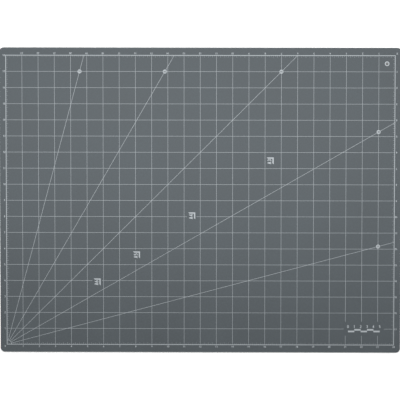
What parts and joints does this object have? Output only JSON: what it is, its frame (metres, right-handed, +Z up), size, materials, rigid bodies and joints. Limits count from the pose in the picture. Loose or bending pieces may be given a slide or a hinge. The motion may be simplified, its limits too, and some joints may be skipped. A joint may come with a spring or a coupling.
{
  "type": "self healing cutting mat",
  "caption": "Flat rectangular cutting mat of laminated plies with rounded corners, a printed inch grid with angle lines and paper size marks, and a corner hanging hole.",
  "frame": {"origin": "centre of the underside, on the table", "axes": "+X to the right along the long side, +Y away from the user, +Z up out of the working face"},
  "size_m": [0.63, 0.4812, 0.003],
  "materials": {
    "mat_skin": "fine grained matte vinyl",
    "cushion_ply": "matte soft vinyl",
    "core": "matte cut edge",
    "top_ink": "matte screen printed ink",
    "underside_ink": "matte screen printed ink"
  },
  "bodies": {
    "root": {"bottom_skin": "mat_skin", "lower_cushion_ply": "cushion_ply", "core_sheet": "core", "upper_cushion_ply": "cushion_ply", "top_skin": "mat_skin", "border_print": "top_ink", "grid_print": "top_ink", "angle_line_print": "top_ink", "angle_badge_print": "top_ink", "paper_size_print": "top_ink", "front_numeral_print": "top_ink", "left_numeral_print": "top_ink", "back_numeral_print": "top_ink", "right_numeral_print": "top_ink", "hang_hole_ring_print": "top_ink", "scale_bar_print": "top_ink", "underside_border_print": "underside_ink", "underside_grid_print": "underside_ink", "underside_tick_print": "underside_ink", "underside_numeral_print": "underside_ink"}
  },
  "joints": []
}
